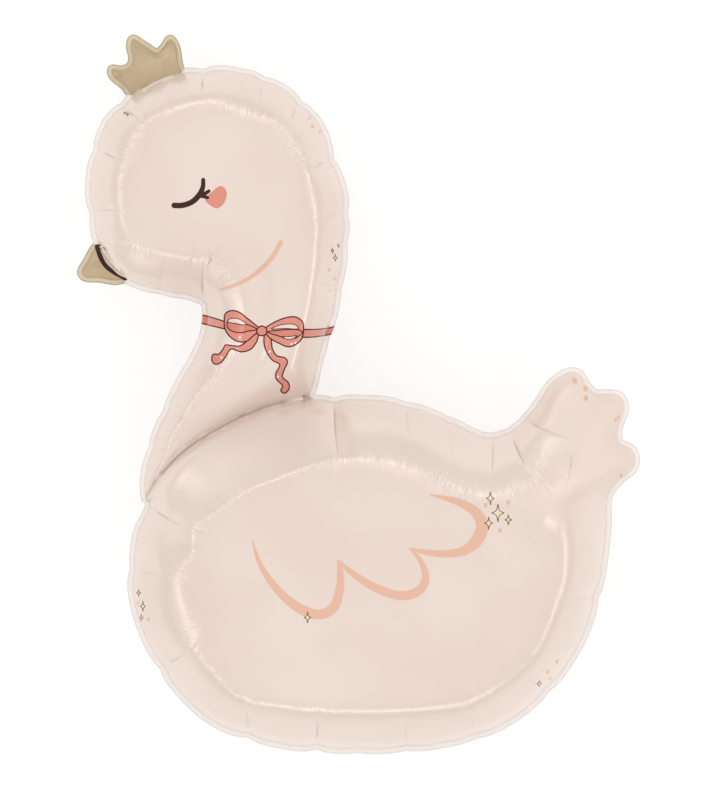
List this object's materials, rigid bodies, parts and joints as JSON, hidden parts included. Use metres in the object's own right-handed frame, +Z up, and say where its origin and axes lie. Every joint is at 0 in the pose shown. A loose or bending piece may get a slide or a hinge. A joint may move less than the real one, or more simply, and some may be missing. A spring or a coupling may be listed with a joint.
{
  "type": "foil balloon",
  "caption": "Sealed foil balloon shaped as a sitting swan with a crown, beak and tail, welded round its rim, lying on its back with the printed face up.",
  "frame": {"origin": "middle of the bounding box, at the floor that the balloon lies on", "axes": "+X to the right as the printed face is looked at, +Y from the belly to the crown, +Z up, out of the printed face"},
  "size_m": [0.7124, 0.9068, 0.2859],
  "materials": {
    "film": "satin pearl metallised film, printed on the front"
  },
  "bodies": {
    "root": {"foil_balloon": "film"}
  },
  "joints": []
}
